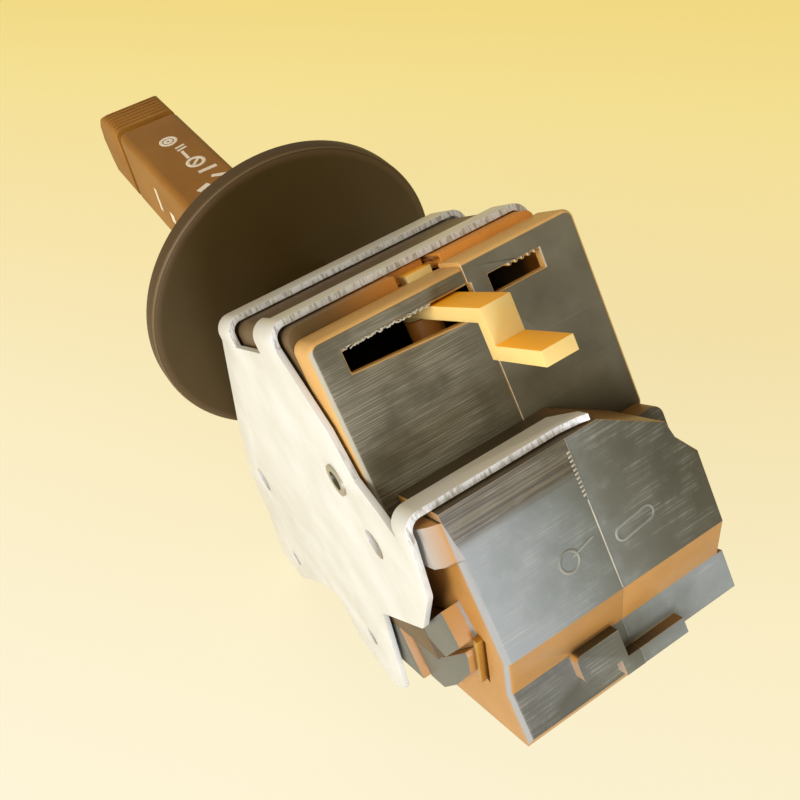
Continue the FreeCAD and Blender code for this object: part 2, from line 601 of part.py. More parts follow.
def rear_outline():
    return [(REAR_TOP, FACE + s.seat_gap), (REAR_TOP, REAR_FACE), (s.rear_step, REAR_FACE),
            (STEP_UP, STEP_OUT), (s.rear_bottom + s.rear_bottom_chamfer, STEP_OUT),
            (s.rear_bottom, STEP_OUT - s.rear_bottom_chamfer), (s.rear_bottom, s.rear_floor),
            (REAR_BACK, s.rear_floor), (REAR_BACK, BASE_RIM + s.seat_gap),
            (s.cover_end - s.seat_gap, BASE_RIM + s.seat_gap), (s.cover_end - s.seat_gap, FACE + s.seat_gap)]


def rear_inner_outline(top, step_in):
    """The hollow above the socket, one wall inside the outline, below a given top and clear of the cover."""
    wall = s.rear_wall
    partition, low = s.rear_bottom + s.socket_depth + wall, BASE_RIM + s.seat_gap + wall
    points = [(top, REAR_FACE - wall), (s.rear_step + wall / 4, REAR_FACE - wall),
              (partition, STEP_OUT - wall / 2), (partition, low)]
    if not step_in:
        return points + [(top, low)]
    under = s.cover_end - s.seat_gap - wall
    return points + [(under, low), (under, FACE + s.seat_gap + wall), (top, FACE + s.seat_gap + wall)]


BLADE_MIDDLE = (SOCKET_FLOOR + SOCKET_ROOF) / 2 + s.blade_lift
BLADES = [(s.rear_parting + s.blade_pitch * k, BLADE_MIDDLE + s.blade_row * row)
          for row in (-1, 1) for k in (-1.5, -0.5, 0.5, 1.5)]


def connector_half(label, side):
    """One half of the connector housing, hollow from the parting, with half of the socket in its bottom."""
    body = new_body(label, tilted=True)
    half, joint, wall = s.rear_half_width, s.rear_parting, s.rear_wall
    left, right = (-half, joint) if side < 0 else (joint, half)
    prism(body, "x", rear_outline(), left, right)
    flange = (-BASE_HALF, -half) if side < 0 else (half, BASE_HALF)
    block(body, flange, (s.rear_bottom, REAR_BACK), (s.rear_floor, s.rear_flange_out), axis="x")
    if side < 0:
        prism(body, "x", rear_inner_outline(REAR_TOP - wall, True), left + wall, joint, cut=True)
    else:
        prism(body, "x", rear_inner_outline(REAR_TOP - wall, True), joint, s.slope_left - wall, cut=True)
        prism(body, "x", rear_inner_outline(s.slope_foot_up - wall, False), s.slope_left - wall, right - wall,
              cut=True)
    socket = (-s.socket_half_width, joint) if side < 0 else (joint, s.socket_half_width)
    block(body, socket, (s.rear_bottom - 1, s.rear_bottom + s.socket_depth), (SOCKET_FLOOR, SOCKET_ROOF),
          cut=True)
    gap = s.blade_gap
    for x, z in BLADES:
        if (float(x) < float(joint)) == (side < 0):
            block(body, (x - s.blade_width / 2 - gap, x + s.blade_width / 2 + gap),
                  (s.rear_bottom + s.socket_depth - 1, s.rear_bottom + s.socket_depth + wall + 1),
                  (z - s.blade_thickness / 2 - gap, z + s.blade_thickness / 2 + gap), cut=True)
    return body


def connector_housing_left():
    body = connector_half("connector_housing_left", -1)
    half = s.rear_half_width
    # the tab beside the strap runs on from the rear face and is crowned towards the plate
    prism(body, "y", [(-half, REAR_FACE - s.tab_depth), (-half, REAR_FACE),
                      (-half - s.tab_bend, REAR_FACE - s.tab_crown / 4),
                      (-half - s.tab_turn, REAR_FACE - s.tab_crown / 2),
                      (-BASE_HALF, REAR_FACE - s.tab_crown), (-BASE_HALF, REAR_FACE - s.tab_depth)],
          s.tab_low, s.tab_high)
    low = BASE_RIM + s.seat_gap
    prism(body, "x", [(s.upper_lug_side_up, s.upper_lug_side_out),
                      (s.upper_lug_head_up, s.upper_lug_head_out),
                      (s.upper_lug_heel_up, s.upper_lug_heel_out),
                      (s.upper_lug_low_up, s.upper_lug_low_out),
                      (s.upper_lug_foot_up, low), (s.upper_lug_end_up, low)], -half - s.upper_lug_rise, -half)
    prism(body, "x", [(s.lower_lug_high, s.lower_lug_front), (s.lower_lug_low, s.lower_lug_front),
                      (s.lower_lug_low, s.lower_lug_corner_out), (s.lower_lug_bend_up, s.lower_lug_bend_out),
                      (s.lower_lug_tip_up, s.lower_lug_tip_out),
                      (s.lower_lug_point_up, s.lower_lug_point_out),
                      (s.lower_lug_neck_up, s.lower_lug_neck_out), (s.lower_lug_high, s.lower_lug_back_out)],
          -half - s.lower_lug_rise, -half)
    # the upright slot of the side terminal
    y0, y1 = s.slot_front, s.slot_front + s.slot_width
    corners = [in_face_frame(y, z) for y, z in ((y0, s.slot_low), (y1, s.slot_low), (y1, s.slot_high),
                                                (y0, s.slot_high))]
    prism(body, "x", corners, -BASE_HALF - 1, -half + s.rear_wall, cut=True)
    for left, right, low, high in ((s.pad_left, s.pad_left_end, s.pad_mid, s.pad_high),
                                   (s.pad_right_start, s.rear_parting, s.pad_low, s.pad_mid)):
        block(body, (left, right), (low, high), (STEP_OUT - 1, STEP_OUT + s.pad_rise))
    round_edges(body, s.pad_corner, lambda p, d: near(abs(d.z), 1) and near(p.x, s.pad_left))


def connector_housing_right():
    body = connector_half("connector_housing_right", 1)
    edge, top = s.rear_half_width, REAR_TOP + 1
    block(body, (s.rear_parting, s.pad_right), (s.pad_low, s.pad_mid), (STEP_OUT - 1, STEP_OUT + s.pad_rise))
    # the upper right corner slopes away, above a shoulder beside the cover
    prism(body, "z", [(s.slope_left, top), (s.slope_left, REAR_TOP), (s.slope_right, s.slope_right_up),
                      (s.slope_end, s.slope_end_up), (edge, s.slope_foot_up), (edge + 1, s.slope_foot_up),
                      (edge + 1, top)], FACE, REAR_FACE + 1, cut=True)
    block(body, (s.shoulder_left, s.shoulder_right), (s.shoulder_low, s.shoulder_high),
          (FACE + s.seat_gap, FACE + s.shoulder_face))
    round_edges(body, s.shoulder_corner, lambda p, d: near(abs(d.z), 1) and near(p.x, s.shoulder_right)
                and near(p.y, s.shoulder_high))
    # the bottom is higher on the right, where the lower part bulges a little
    block(body, (s.pad_right, BASE_HALF + 1), (s.rear_bottom - 1, s.right_bottom),
          (s.rear_floor - 1, STEP_OUT + 1), cut=True)
    block(body, (edge, edge + s.right_bulge), (s.right_bottom, STEP_UP), (s.right_bulge_front, STEP_OUT))


def side_terminal():
    """A brass strip upright in the left wall's slot."""
    body = new_body("side_terminal")
    middle, half, gap = s.slot_front + s.slot_width / 2, s.terminal_thickness / 2, s.terminal_gap
    block(body, (-s.rear_half_width - s.terminal_out, -s.rear_half_width + s.rear_wall),
          (middle - half, middle + half), (s.slot_low + gap, s.slot_high - gap))


def terminal_blades():
    """Two rows of flat blades through the wall at the socket's end."""
    body = new_body("terminal_blades", tilted=True)
    end = s.rear_bottom + s.socket_depth
    for x, z in BLADES:
        block(body, (x - s.blade_width / 2, x + s.blade_width / 2),
              (end - s.blade_reach, end + s.rear_wall + s.blade_tail),
              (z - s.blade_thickness / 2, z + s.blade_thickness / 2))


def turn_carrier():
    """The yoke that holds the stalk's shank and turns between the two pins."""
    body = new_body("turn_carrier", tilted=True)
    half = s.carrier_half_width
    block(body, (-half, half), (s.carrier_low, s.carrier_high), (s.carrier_front, s.carrier_rear))
    block(body, (s.carrier_cheek - half, half - s.carrier_cheek),
          (s.carrier_low + s.carrier_bridge, s.carrier_high - s.carrier_bridge),
          (s.carrier_front - 1, s.carrier_rear - s.carrier_web), cut=True)
    web = s.carrier_rear - s.carrier_web
    rod(body, "z", (0, s.detent_up), s.plunger + s.plunger_boss, web - s.plunger_boss_depth, web + 1)
    rod(body, "z", (0, s.detent_up), s.plunger + s.slip, web - s.plunger_boss_depth + 1, s.carrier_rear + 1,
        cut=True)
    rod(body, "z", (0, s.peg_up), s.peg, s.carrier_rear - 1, s.carrier_rear + s.peg_length)
    for low in (s.carrier_low, s.carrier_high - s.carrier_bridge):
        rod(body, "y", (0, s.turn_out), s.trunnion + s.slip, low - 0.01, low + s.carrier_bridge + 0.01,
            cut=True)
    rod(body, "x", PIN_POINT, s.dip_pin, -half - 1, half + 1, cut=True)


def turn_pivot_pins():
    """The two pins the carrier turns on, pressed into the base."""
    body = new_body("turn_pivot_pins", tilted=True)
    rod(body, "y", (0, s.turn_out), s.trunnion, s.base_bottom + s.wall - s.trunnion_seat,
        s.carrier_low + s.carrier_bridge)
    rod(body, "y", (0, s.turn_out), s.trunnion, s.carrier_high - s.carrier_bridge, s.bearing_wall_top)


def detent_plate():
    """The plate over the carrier with the hollow that the plunger runs along."""
    body = new_body("detent_plate", tilted=True)
    low, high = s.detent_up - s.detent_plate_half_height, s.detent_up + s.detent_plate_half_height
    block(body, (-BASE_INNER, BASE_INNER), (low, high),
          (DETENT_PLATE_OUT, DETENT_PLATE_OUT + s.detent_plate_thickness))
    rod(body, "y", (0, s.turn_out), DETENT_ARC, low - 1, high + 1, cut=True)
    rod(body, "y", (0, s.turn_out + DETENT_ARC), s.detent_dent, low - 1, high + 1, cut=True)


PLUNGER_BACK = s.carrier_rear + s.plunger_reach - s.plunger_length


def detent_plunger():
    body = new_body("detent_plunger", tilted=True)
    tip = s.carrier_rear + s.plunger_reach
    rod(body, "z", (0, s.detent_up), s.plunger, PLUNGER_BACK, tip)
    round_rim(body, s.plunger_nose, tip, ("z", s.plunger))


def detent_spring():
    body = new_body("detent_spring", tilted=True)
    bottom = s.carrier_rear - s.carrier_web - s.plunger_boss_depth + 1
    coil(body, (0, s.detent_up), s.plunger - s.spring_play - s.spring_wire, s.spring_wire, s.spring_pitch,
         bottom, PLUNGER_BACK)


def contact_slider():
    """The carriage that the carrier's peg pushes from side to side."""
    body = new_body("contact_slider", tilted=True)
    block(body, (-s.slider_half_width, s.slider_half_width),
          (s.peg_up - s.slider_half_height, s.peg_up + s.slider_half_height),
          (SLIDER_FRONT, SLIDER_FRONT + s.slider_thickness))
    block(body, (-s.slider_slot, s.slider_slot), (s.peg_up - s.peg - s.slip, s.peg_up + s.peg + s.slip),
          (SLIDER_FRONT - 1, SLIDER_FRONT + s.slider_thickness + 1), cut=True)


CONTACT_ROWS = (-1.5, -0.5, 0.5, 1.5)


def slider_contacts():
    """Bridge-shaped bronze springs on the carriage."""
    body = new_body("slider_contacts", tilted=True)
    base, t = SLIDER_FRONT + s.slider_thickness, s.contact_thickness
    crown, foot, rise = s.contact_crown, s.contact_foot, s.contact_rise
    for row in CONTACT_ROWS:
        up = s.contact_pitch * row
        points = [(s.peg_up - foot, base), (s.peg_up - foot / 2, base), (s.peg_up - crown, base + rise - t),
                  (s.peg_up + crown, base + rise - t), (s.peg_up + foot / 2, base), (s.peg_up + foot, base),
                  (s.peg_up + foot, base + t), (s.peg_up + foot / 2 - t / 4, base + t),
                  (s.peg_up + crown - t / 4, base + rise), (s.peg_up - crown + t / 4, base + rise),
                  (s.peg_up - foot / 2 + t / 4, base + t), (s.peg_up - foot, base + t)]
        prism(body, "x", points, up - s.contact_half_width, up + s.contact_half_width)


def contact_board():
    body = new_body("contact_board", tilted=True)
    half = BASE_INNER - s.seat_gap
    block(body, (-half, half), (s.board_low + s.seat_gap, s.board_high - s.seat_gap),
          (BOARD_OUT, BOARD_OUT + s.board_thickness))


def fixed_contacts():
    """Flat contacts on the underside of the board."""
    body = new_body("fixed_contacts", tilted=True)
    for row in CONTACT_ROWS:
        x = s.contact_pitch * row
        block(body, (x - s.fixed_contact_half_length, x + s.fixed_contact_half_length),
              (s.peg_up - s.contact_half_width, s.peg_up + s.contact_half_width),
              (BOARD_OUT - s.contact_thickness, BOARD_OUT))


def stalk_shank():
    """The square core of the stalk, from the dip pin in the carrier to the grip."""
    body = new_body("stalk_shank")
    half, z = s.shank_half_height, s.stalk_z
    block(body, (-s.shank_half_width, s.shank_half_width), (s.shank_rear, s.shank_front),
          (z - half, z + half), axis="y")
    back = -s.disc_half_thickness
    block(body, (-s.flange_half_width, s.flange_half_width), (back - s.flange_thickness, back),
          (z - s.flange_half_height, z + s.flange_half_height), axis="y")
    edge = s.shank_half_width + 1
    rod(body, "x", (s.dip_y, z), s.dip_pin + s.slip, -edge, edge, cut=True)
    rod(body, "x", (s.stalk_pin_y, z), s.stalk_pin, -edge, edge, cut=True)


def dip_pin():
    body = new_body("dip_pin", tilted=True)
    rod(body, "x", PIN_POINT, s.dip_pin, -s.carrier_half_width, s.carrier_half_width)


def dip_return_spring():
    """A leaf on the carrier's lower bridge that leans towards the shank's end."""
    body = new_body("dip_return_spring", tilted=True)
    t, low = s.return_leaf, s.carrier_low + s.carrier_bridge
    foot = s.carrier_front + s.return_leaf_inset
    knee = foot + s.return_leaf_foot
    tip = knee + s.return_leaf_rise
    end = low + s.return_leaf_reach
    prism(body, "x", [(low, foot), (low, knee), (end - t, tip), (end + t / 2, tip),
                      (low + t, knee - t / 2), (low + t, foot)],
          -s.return_leaf_half_width, s.return_leaf_half_width)


def shroud_disc():
    """The round plate between the mechanism and the grip, with a lip and a hole for the shank."""
    body = new_body("shroud_disc")
    half = s.disc_half_thickness
    rod(body, "y", (0, 0), s.disc_radius, -half, half)
    round_rim(body, s.disc_edge, -half, ("y", s.disc_radius))
    tube(body, "y", (0, 0), s.disc_radius, s.disc_radius - s.disc_lip, half, half + s.disc_lip_depth)
    x, z = s.shank_half_width + s.shank_gap, s.shank_half_height + s.shank_gap
    block(body, (-x, x), (-half - 1, half + 1), (s.stalk_z - z, s.stalk_z + z), cut=True, axis="y")


def stalk_shell():
    """The hollow grip, solid around the shank, with a wall that carries the button's spring and contacts."""
    body = new_body("stalk_shell")
    half, wall = s.stalk_half_width, s.stalk_wall
    block(body, (-half, half), (s.disc_half_thickness, s.stalk_end), (s.stalk_bottom, s.stalk_top), axis="y")
    round_edges(body, s.stalk_edge, lambda p, d: near(abs(d.y), 1))
    inside = ((wall - half, half - wall), (s.stalk_bottom + wall, s.stalk_top - wall))
    block(body, inside[0], (s.stalk_collar, s.stalk_end + 1), inside[1], cut=True, axis="y")
    block(body, inside[0], (s.bulkhead_back, s.bulkhead_back + s.bulkhead_thickness), inside[1], axis="y")
    x, z = s.shank_half_width + s.shank_gap, s.shank_half_height + s.shank_gap
    block(body, (-x, x), (s.disc_half_thickness - 1, s.stalk_collar + 1), (s.stalk_z - z, s.stalk_z + z),
          cut=True, axis="y")
    rod(body, "x", (s.stalk_pin_y, s.stalk_z), s.stalk_pin, -half - 1, half + 1, cut=True)
    face = s.bulkhead_back + s.bulkhead_thickness
    for k in range(2):
        low = s.horn_strip_low + s.horn_strip_pitch * k
        block(body, (-s.horn_strip_half_width, s.horn_strip_half_width), (face - s.horn_strip_seat, face + 1),
              (low, low + s.horn_strip), cut=True, axis="y")


def stalk_pin():
    body = new_body("stalk_pin")
    rod(body, "x", (s.stalk_pin_y, s.stalk_z), s.stalk_pin, -s.stalk_half_width, s.stalk_half_width)


BUTTON_BACK = s.stalk_end + s.button_travel + s.button_stop
SKIRT_END = BUTTON_BACK - s.button_skirt - s.button_travel


def end_button():
    """The push button that closes the stalk's end, ribbed on top, with a skirt inside the grip."""
    body = new_body("end_button")
    half, back = s.stalk_half_width, BUTTON_BACK
    end = s.nose_y + 1
    block(body, (-half, half), (back, end), (s.stalk_bottom, s.stalk_top), axis="y")
    round_edges(body, s.stalk_edge, lambda p, d: near(abs(d.y), 1))
    prism(body, "x", [(s.nose_low_y, s.stalk_bottom - 1), (s.nose_low_y, s.stalk_bottom),
                      (s.nose_under_y, s.nose_under_z), (s.nose_y, s.nose_z), (s.nose_mid_y, s.nose_mid_z),
                      (s.nose_high_y, s.nose_high_z), (back + s.button_brow, s.stalk_top),
                      (back + s.button_brow, s.stalk_top + 1), (end + 1, s.stalk_top + 1),
                      (end + 1, s.stalk_bottom - 1)], -half - 1, half + 1, cut=True)
    for k in range(int(float(s.rib_count))):
        start = s.rib_first + s.rib_pitch * k
        block(body, (-half, half), (start, start + s.rib_width), (s.stalk_top - s.rib_depth, s.stalk_top + 1),
              cut=True, axis="y")
    x = half - s.stalk_wall - s.button_gap
    low, high = s.stalk_bottom + s.stalk_wall + s.button_gap, s.stalk_top - s.stalk_wall - s.button_gap
    block(body, (-x, x), (SKIRT_END, back), (low, high), axis="y")
    thin = s.button_wall
    block(body, (thin - x, x - thin), (SKIRT_END - 1, back + s.button_travel), (low + thin, high - thin),
          cut=True, axis="y")
    rod(body, "y", (0, s.stalk_z), s.button_post, SKIRT_END, back + s.button_travel)


def button_spring():
    body = new_body("button_spring")
    body.Placement = FreeCAD.Placement(V(0, float(s.bulkhead_back + s.bulkhead_thickness), float(s.stalk_z)),
                                       FreeCAD.Rotation(V(1, 0, 0), -90))
    bind(body, "Placement.Base.y", s.bulkhead_back + s.bulkhead_thickness)
    bind(body, "Placement.Base.z", s.stalk_z)
    coil(body, (0, 0), s.button_spring_radius, s.spring_wire, s.spring_pitch, 0,
         SKIRT_END - s.bulkhead_back - s.bulkhead_thickness)


def horn_contacts():
    """Two strips that the pressed button brings together."""
    body = new_body("horn_contacts")
    start = s.bulkhead_back + s.bulkhead_thickness - s.horn_strip_seat
    for k in range(2):
        low = s.horn_strip_low + s.horn_strip_pitch * k
        block(body, (-s.horn_strip_half_width, s.horn_strip_half_width), (start, start + s.horn_strip_length),
              (low, low + s.horn_strip), axis="y")


def cancel_lever():
    """The cranked lever that the column's cam strikes, with its hub and the wedge at its root."""
    body = new_body("cancel_lever", tilted=True)
    t, out, x = s.lever_thickness, PIVOT_OUT, s.lever_pivot_x
    low, high = s.lever_post_top + s.lever_play, BASE_TOP - s.wall - s.lever_play
    rod(body, "y", (x, out), s.lever_hub, low, high)
    foot, drop = out - s.lever_foot, s.lever_tip_drop
    crank = FACE + s.lever_crank_rise
    tip = crank + s.lever_tip_length
    prism(body, "x", [(-t, foot), (0, foot), (0, crank), (t - drop, crank), (t - drop, tip), (-drop, tip),
                      (-drop, crank - t), (-t, crank - t)], s.lever_left, s.lever_left + s.lever_width)
    block(body, (s.wedge_left, s.wedge_right), (-t / 2, s.wedge_top),
          (BASE_RIM - s.wedge_drop - s.wedge_length, BASE_RIM - s.wedge_drop))
    rod(body, "y", (x, out), s.lever_pin + s.slip, low - 1, high + 1, cut=True)


def cancel_pivot_pin():
    body = new_body("cancel_pivot_pin", tilted=True)
    rod(body, "y", (s.lever_pivot_x, PIVOT_OUT), s.lever_pin, s.bearing_wall_top - s.lever_pin_seat,
        BASE_TOP - s.seat_gap)


def cancel_spring():
    """A bent wire in the groove of the base's top wall, beside the lever's wedge."""
    body = new_body("cancel_spring", tilted=True)
    up = BASE_TOP - s.wire_depth
    rod(body, "z", (s.wire_x, up), s.wire, WIRE_FRONT - s.wire, BASE_RIM - s.wire_drop)
    rod(body, "x", (up, WIRE_FRONT), s.wire, s.wire_x - s.wire_hook, s.wire_x)


def check_document():
    broken = [o.Label for o in doc.Objects if {"Invalid", "Error"} & set(o.State)]
    for body in PARTS:
        shape = body.Shape
        if shape.isNull() or not shape.isValid() or not shape.Solids:
            broken.append(body.Label)
    if broken:
        raise ValueError(f"these did not build: {broken}")


for make in (mounting_bracket, bracket_rivets, base_housing, left_cover, right_cover, connector_housing_left,
             connector_housing_right, side_terminal, terminal_blades, turn_carrier, turn_pivot_pins,
             detent_plate, detent_plunger, detent_spring, contact_slider, slider_contacts, contact_board,
             fixed_contacts, stalk_shank, dip_pin, dip_return_spring, shroud_disc, stalk_shell, stalk_pin,
             end_button, button_spring, horn_contacts, cancel_lever, cancel_pivot_pin, cancel_spring):
    make()
doc.recompute()
check_document()
os.makedirs("parts", exist_ok=True)
for part in PARTS:
    box = part.Shape.BoundBox
    print(part.Label, len(part.Shape.Solids), round(part.Shape.Volume),
          [round(v, 1) for v in (box.XMin, box.XMax, box.YMin, box.YMax, box.ZMin, box.ZMax)])
    part.Shape.exportStep(f"parts/{part.Label}.step")
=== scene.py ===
"""The looks of an indicator stalk switch: moulded housings, a plated bracket, a grip with a round shroud."""

import json
import math
import random

import bpy
from mathutils import Matrix, Vector


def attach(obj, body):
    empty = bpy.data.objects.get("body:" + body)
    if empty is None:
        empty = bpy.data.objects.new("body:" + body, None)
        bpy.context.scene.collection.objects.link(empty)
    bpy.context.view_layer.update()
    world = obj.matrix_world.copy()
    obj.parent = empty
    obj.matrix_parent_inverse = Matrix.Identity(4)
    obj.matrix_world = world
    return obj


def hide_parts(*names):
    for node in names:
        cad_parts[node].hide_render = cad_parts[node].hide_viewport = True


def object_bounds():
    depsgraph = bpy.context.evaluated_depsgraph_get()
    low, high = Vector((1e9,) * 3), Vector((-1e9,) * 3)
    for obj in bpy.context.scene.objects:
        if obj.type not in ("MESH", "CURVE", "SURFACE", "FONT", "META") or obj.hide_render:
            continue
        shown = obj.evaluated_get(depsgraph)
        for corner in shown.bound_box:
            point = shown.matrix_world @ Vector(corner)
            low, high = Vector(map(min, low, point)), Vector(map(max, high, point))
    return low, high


MM = 0.001
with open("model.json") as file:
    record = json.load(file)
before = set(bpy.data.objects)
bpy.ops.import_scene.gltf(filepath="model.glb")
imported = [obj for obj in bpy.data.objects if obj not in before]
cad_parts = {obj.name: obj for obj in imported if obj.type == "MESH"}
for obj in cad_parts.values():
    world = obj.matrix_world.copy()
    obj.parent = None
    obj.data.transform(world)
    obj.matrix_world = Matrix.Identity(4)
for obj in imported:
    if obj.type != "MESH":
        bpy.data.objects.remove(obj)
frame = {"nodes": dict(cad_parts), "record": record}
cad_box = [list(corner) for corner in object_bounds()]

# The housing leans back against the stalk. In its face frame x is across, up runs up the main face and out
# stands on it.
LEAN = math.radians(58.2)
UP = Vector((0, math.cos(LEAN), math.sin(LEAN)))
OUT = Vector((0, -math.sin(LEAN), math.cos(LEAN)))
FACE_FRAME = Matrix(((1, 0, 0, 0), (0, UP.y, OUT.y, 0), (0, UP.z, OUT.z, 0), (0, 0, 0, 1)))

# Faces that pieces of the scene lie on, in millimetres: out in the face frame, or the grip's own axes.
COVER_FACE = 84.2
REAR_FACE = 99.8
REAR_LEFT = -22.3
REAR_SEAM = 0.9
GRIP_TOP = 7.0
GRIP_LEFT = -9.4

# The photograph's camera, worked out from the shroud's ellipse and the bracket's straight edges.
CAMERA_AT = Vector((-60.3, -173.53, 142.21)) * MM
CAMERA_RIGHT = Vector((0.8346, -0.5352, -0.1307))
CAMERA_UP = Vector((0.4633, 0.5534, 0.6922))
CAMERA_BACK = Vector((-0.2981, -0.6382, 0.7098))
LENS = 43.17


def face(x, up, out):
    """A point of the leaning face frame, given in millimetres, as a place in the scene."""
    return (Vector((x, 0, 0)) + UP * up + OUT * out) * MM


def linear(hex_colour):
    """An sRGB hex value as the linear colour that a shader takes."""
    parts = [int(hex_colour[k:k + 2], 16) / 255 for k in (1, 3, 5)]
    return [p / 12.92 if p <= 0.04045 else ((p + 0.055) / 1.055) ** 2.4 for p in parts] + [1.0]


# materials

def new_material(name):
    """A new material and its principled shader."""
    material = bpy.data.materials.new(name)
    material.use_nodes = True
    return material, material.node_tree.nodes["Principled BSDF"]


def add(material, kind, settings=None, **links):
    """One node. Its inputs, by name or as i and a number, are linked to a socket or set to a value."""
    tree = material.node_tree
    node = tree.nodes.new(kind)
    for key, value in (settings or {}).items():
        setattr(node, key, value)
    for key, value in links.items():
        numbered = key[0] == "i" and key[1:].isdigit()
        socket = node.inputs[int(key[1:]) if numbered else key.replace("_", " ")]
        if isinstance(value, bpy.types.NodeSocket):
            tree.links.new(value, socket)
        else:
            socket.default_value = value
    return node


def join(material, socket, target):
    """Links an output of one node to an input of another."""
    material.node_tree.links.new(socket, target)


def maths(material, operation, a, b, c=0.0):
    """The result of one operation on numbers or sockets."""
    return add(material, "ShaderNodeMath", {"operation": operation}, i0=a, i1=b, i2=c).outputs[0]


def times(material, a, b):
    """The product of two values."""
    return maths(material, "MULTIPLY", a, b)


def ramp(material, factor, stops):
    """A colour ramp over factor, with a colour or a grey at each stop."""
    node = add(material, "ShaderNodeValToRGB", Fac=factor)
    elements = node.color_ramp.elements
    while len(elements) < len(stops):
        elements.new(0.5)
    for element, (place, colour) in zip(elements, stops):
        element.position = place
        element.color = linear(colour) if isinstance(colour, str) else (colour, colour, colour, 1)
    return node.outputs["Color"]


def mix(material, factor, a, b):
    """From colour a to colour b as the factor goes from 0 to 1."""
    return add(material, "ShaderNodeMix", {"data_type": "RGBA"}, i0=factor, i6=a, i7=b).outputs[2]


def place_of(material, scale=(1, 1, 1)):
    """Object coordinates, each axis scaled."""
    at = add(material, "ShaderNodeTexCoord").outputs["Object"]
    return add(material, "ShaderNodeMapping", Vector=at, Scale=scale).outputs["Vector"]


def noise(material, vector, size_mm, detail=3.0, roughness=0.5):
    """A noise whose grains are about size_mm across."""
    return add(material, "ShaderNodeTexNoise", Vector=vector, Scale=1 / (size_mm * MM), Detail=detail,
               Roughness=roughness).outputs["Fac"]


def smooth_step(material, value, low, high):
    """0 where value is at low, 1 where it is at high, with a soft change between."""
    start, end = (low, high) if low < high else (high, low)
    step = add(material, "ShaderNodeMapRange", {"interpolation_type": "SMOOTHSTEP"}, Value=value,
               From_Min=start, From_Max=end, To_Min=float(low > high), To_Max=float(low < high))
    return step.outputs["Result"]


def facing(material, direction, low=0.86, high=0.97):
    """1 on surfaces that face the given direction, fading to 0 as they turn away from it."""
    normal = add(material, "ShaderNodeTexCoord").outputs["Normal"]
    dot = add(material, "ShaderNodeVectorMath", {"operation": "DOT_PRODUCT"}, i0=normal, i1=tuple(direction))
    return smooth_step(material, dot.outputs["Value"], low, high)


def in_face_plane(material, vector):
    """Coordinates turned so that they run across, up and out in the face frame."""
    return add(material, "ShaderNodeMapping", Vector=vector, Rotation=(-LEAN, 0, 0)).outputs["Vector"]


def face_axes(material):
    """Across, up and out in the face frame, in millimetres."""
    at = in_face_plane(material, place_of(material, (1 / MM, 1 / MM, 1 / MM)))
    axes = add(material, "ShaderNodeSeparateXYZ", Vector=at).outputs
    return axes["X"], axes["Y"], axes["Z"]


def brushed(material, pattern, width_mm, density):
    """Fine scratches straight across the face, 0 to 1. More density leaves fewer of them.

    The pattern is an angle by which their noise is turned: it only sets them apart from those of another use.
    """
    flat = in_face_plane(material, place_of(material))
    along = add(material, "ShaderNodeMapping", Vector=flat, Rotation=(0, 0, pattern), Scale=(0.015, 1, 1))
    lines = noise(material, along.outputs["Vector"], width_mm, 4.0, 0.65)
    return ramp(material, lines, [(density, 0.0), (density + 0.14, 1.0)])


def finish_plastic(material, shader, tone, marks, roughness, grain_mm, relief=0.2):
    """Colour, roughness and relief of a moulded face with its rubbed marks."""
    join(material, tone, shader.inputs["Base Color"])
    fine = noise(material, place_of(material), grain_mm, 2.0)
    worn = maths(material, "MULTIPLY_ADD", marks, 0.14, roughness)
    join(material, maths(material, "MULTIPLY_ADD", fine, 0.12, worn), shader.inputs["Roughness"])
    height = maths(material, "MULTIPLY_ADD", marks, 0.6, fine)
    bump = add(material, "ShaderNodeBump", Strength=relief, Distance=0.05 * MM, Height=height)
    join(material, bump.outputs["Normal"], shader.inputs["Normal"])
    shader.inputs["IOR"].default_value = 1.5


def finish_lined(material, shader, tone, lines, roughness, spread, relief, depth_mm):
    """Colour, roughness and relief of a surface with a fine texture, its roughness spread by it."""
    join(material, tone, shader.inputs["Base Color"])
    join(material, maths(material, "MULTIPLY_ADD", lines, spread, roughness), shader.inputs["Roughness"])
    bump = add(material, "ShaderNodeBump", Strength=relief, Distance=depth_mm * MM, Height=lines)
    join(material, bump.outputs["Normal"], shader.inputs["Normal"])


def scuff_tone(hex_colour):
    """The same tone, lighter and greyer."""
    parts = [int(hex_colour[k:k + 2], 16) for k in (1, 3, 5)]
    return "#" + "".join(f"{min(255, int(p * 0.6 + 78)):02x}" for p in parts)


def moulded(name, base, pale, roughness, grain_mm=0.25, cloud_mm=9.0):
    """Injection moulded plastic: fine grain, clouds of a paler tone and a few scuffs."""
    material, shader = new_material(name)
    patches = noise(material, place_of(material), cloud_mm)
    worn = ramp(material, patches, [(0.45, 0.0), (0.62, 0.1)])
    marks = times(material, brushed(material, 0.0, 0.35, 0.5), worn)
    tone = mix(material, ramp(material, patches, [(0.3, 0.0), (0.7, 1.0)]), linear(base), linear(pale))
    tone = mix(material, marks, tone, linear(scuff_tone(pale)))
    finish_plastic(material, shader, tone, marks, roughness, grain_mm)
    return material


